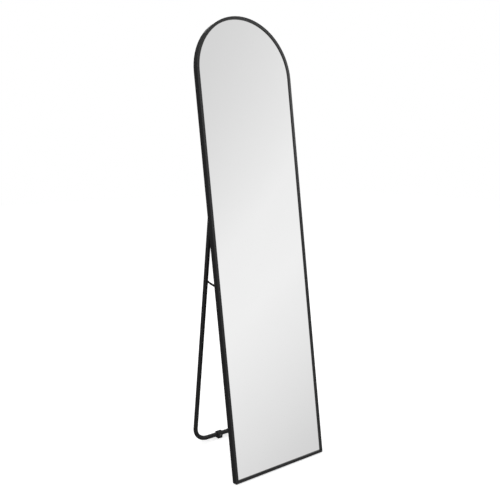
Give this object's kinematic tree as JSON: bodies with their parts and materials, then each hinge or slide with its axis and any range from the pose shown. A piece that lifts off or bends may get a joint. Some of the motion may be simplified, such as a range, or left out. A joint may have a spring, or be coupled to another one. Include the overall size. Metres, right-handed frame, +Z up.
{
  "type": "leaning floor mirror",
  "caption": "Full-length floor mirror with an arched head in a slim black metal frame, leaning on a folding U-shaped tube stand held open by hooked stays.",
  "frame": {"origin": "on the floor, in the middle of the footprint between the front of the frame and the back of the stand feet", "axes": "+X across the mirror to the right of someone facing the glass from the front, +Y from the glass towards the stand, +Z up"},
  "size_m": [0.4, 0.3564, 1.5852],
  "materials": {
    "black_frame": "satin black powder coat",
    "black_tube": "satin black powder coat",
    "black_steel": "satin black powder coat",
    "mirror_glass": "silvered float glass, polished",
    "safety_film": "clear-grey film on the silvering",
    "foam": "closed-cell foam",
    "backing_board": "hardboard, smooth face out",
    "rubber": "matt moulded rubber",
    "raw_aluminium": "mill finish",
    "black_plastic": "fine-grained moulding",
    "nylon": "plain nylon",
    "black_zinc": "black zinc",
    "rivet_steel": "black-finished steel"
  },
  "bodies": {
    "mirror": {"backing_board": "backing_board", "base_pad_left": "rubber", "base_pad_right": "rubber", "bracket_rivets": "rivet_steel", "corner_key_left": "raw_aluminium", "corner_key_right": "raw_aluminium", "corner_key_screws": "black_zinc", "foam_sheet": "foam", "frame_arch": "black_frame", "frame_bottom_rail": "black_frame", "hinge_bolt_left": "black_zinc", "hinge_bolt_right": "black_zinc", "hinge_bracket_left": "black_steel", "hinge_bracket_right": "black_steel", "hinge_nuts": "black_zinc", "hinge_rail": "black_steel", "hinge_washers": "nylon", "mirror_glass": "mirror_glass", "rail_screws": "black_zinc", "safety_film": "safety_film", "stay_bracket_left": "black_steel", "stay_bracket_right": "black_steel", "stay_rail": "black_steel", "stay_rivet_left": "rivet_steel", "stay_rivet_right": "rivet_steel"},
    "stand": {"bar_connector": "black_plastic", "foot_screws": "black_zinc", "leg_plug_left": "black_plastic", "leg_plug_right": "black_plastic", "stand_foot_left": "rubber", "stand_foot_right": "rubber", "stand_leg_left": "black_tube", "stand_leg_right": "black_tube", "stay_stud_left": "rivet_steel", "stay_stud_right": "rivet_steel"},
    "stay_left": {"stay_left": "black_steel"},
    "stay_right": {"stay_right": "black_steel"}
  },
  "joints": [
    {"name": "stand_fold", "type": "hinge", "parent": "mirror", "child": "stand", "pos_m": [0, 0.02061, 1.0013], "axis": [-1, 0, 0], "range_deg": [0, 17.2]},
    {"name": "stay_left_swing", "type": "hinge", "parent": "mirror", "child": "stay_left", "pos_m": [0, -0.04506, 0.64496], "axis": [1, 0, 0], "range_deg": [0, 72.14]},
    {"name": "stay_right_swing", "type": "hinge", "parent": "mirror", "child": "stay_right", "pos_m": [0, -0.04506, 0.64496], "axis": [1, 0, 0], "range_deg": [0, 72.14]}
  ],
  "couplings": [
    {"joint": "stay_left_swing", "follows": "stand_fold", "ratio": 4.1942},
    {"joint": "stay_right_swing", "follows": "stand_fold", "ratio": 4.1942}
  ]
}
